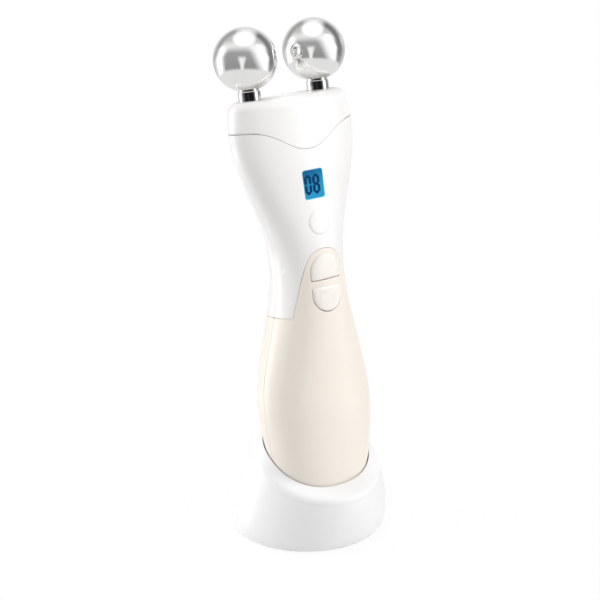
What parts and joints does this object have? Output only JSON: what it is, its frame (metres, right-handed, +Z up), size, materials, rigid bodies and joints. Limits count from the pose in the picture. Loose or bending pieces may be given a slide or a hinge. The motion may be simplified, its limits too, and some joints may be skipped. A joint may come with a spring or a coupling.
{
  "type": "facial toning device",
  "caption": "Handheld facial toning device with two chromed ball electrodes, display and keys, standing in its charging cradle.",
  "frame": {"origin": "middle of the cradle's footprint, on the table", "axes": "+Z up, -Y the front with the display and the keys, +X to the right seen from the front"},
  "size_m": [0.0586, 0.0602, 0.1909],
  "materials": {
    "white_abs": "glossy moulded white ABS",
    "cradle_abs": "glossy moulded white ABS, slightly cooler than the handset",
    "cream_abs": "glossy moulded cream ABS",
    "chrome_plate": "bright chrome plate over a polished shell",
    "zinc_steel": "zinc plated steel",
    "gold_brass": "thin gold plate on brass",
    "circuit_board": "green solder mask on glass epoxy",
    "chip_epoxy": "black moulded epoxy",
    "inner_abs": "dark moulded ABS, eroded finish",
    "inlet_nylon": "black moulded nylon",
    "foot_rubber": "grey silicone rubber",
    "window_acrylic": "clear acrylic window",
    "display_glass": "blue backlit display cell",
    "backlight_acrylic": "diffusing acrylic light guide",
    "battery_wrap": "heat-shrunk film",
    "red_lead": "red insulation",
    "black_lead": "black insulation"
  },
  "bodies": {
    "cradle": {"cradle_shell": "cradle_abs", "cradle_base_plate": "cradle_abs", "cradle_weight": "zinc_steel", "cradle_foot_ring": "foot_rubber", "cradle_screws": "zinc_steel", "cradle_board": "circuit_board", "cradle_leads": "black_lead", "power_inlet": "inlet_nylon", "charge_pin_barrels": "gold_brass"},
    "handset": {"front_shell": "white_abs", "rear_shell": "white_abs", "grip_front_shell": "cream_abs", "grip_rear_shell": "cream_abs", "end_cap": "cream_abs", "end_cap_screws": "zinc_steel", "chassis": "inner_abs", "main_board": "circuit_board", "board_chips": "chip_epoxy", "board_screws": "zinc_steel", "tact_switches": "chip_epoxy", "display_window": "window_acrylic", "display_cell": "display_glass", "display_backlight": "backlight_acrylic", "display_holder": "inner_abs", "battery_cell": "battery_wrap", "battery_leads": "red_lead", "charge_contacts": "gold_brass", "charge_leads": "black_lead", "buzzer": "inner_abs", "head_socket": "inner_abs", "socket_seal": "foot_rubber", "head_contact_pins": "gold_brass"},
    "head": {"head_shell": "white_abs", "head_plug": "inner_abs", "electrode_ball_left": "chrome_plate", "electrode_ball_right": "chrome_plate", "electrode_neck_left": "chrome_plate", "electrode_neck_right": "chrome_plate", "electrode_washers": "foot_rubber", "electrode_nuts": "zinc_steel", "contact_strips": "gold_brass"},
    "charge_pin_left": {"charge_pin_left": "gold_brass"},
    "charge_pin_right": {"charge_pin_right": "gold_brass"},
    "power_button": {"power_button": "white_abs"},
    "key_up": {"key_up": "cream_abs"},
    "key_down": {"key_down": "cream_abs"}
  },
  "joints": [
    {"name": "handset_lift", "type": "slide", "parent": "cradle", "child": "handset", "axis": [0, 0.1891, 0.982], "range_m": [0, 0.07]},
    {"name": "head_pull", "type": "slide", "parent": "handset", "child": "head", "axis": [0, 0.1891, 0.982], "range_m": [0, 0.03]},
    {"name": "power_press", "type": "slide", "parent": "handset", "child": "power_button", "axis": [0, 0.982, -0.1891], "range_m": [0, 0.0004], "stiffness_N_per_m": 1500, "springref_m": -0.0004},
    {"name": "key_up_press", "type": "slide", "parent": "handset", "child": "key_up", "axis": [0, 0.982, -0.1891], "range_m": [0, 0.0004], "stiffness_N_per_m": 1500, "springref_m": -0.0004},
    {"name": "key_down_press", "type": "slide", "parent": "handset", "child": "key_down", "axis": [0, 0.982, -0.1891], "range_m": [0, 0.0004], "stiffness_N_per_m": 1500, "springref_m": -0.0004},
    {"name": "charge_pin_left_press", "type": "slide", "parent": "cradle", "child": "charge_pin_left", "axis": [0, -0.1891, -0.982], "range_m": [0, 0.0012], "stiffness_N_per_m": 200, "springref_m": -0.0006},
    {"name": "charge_pin_right_press", "type": "slide", "parent": "cradle", "child": "charge_pin_right", "axis": [0, -0.1891, -0.982], "range_m": [0, 0.0012], "stiffness_N_per_m": 200, "springref_m": -0.0006}
  ]
}
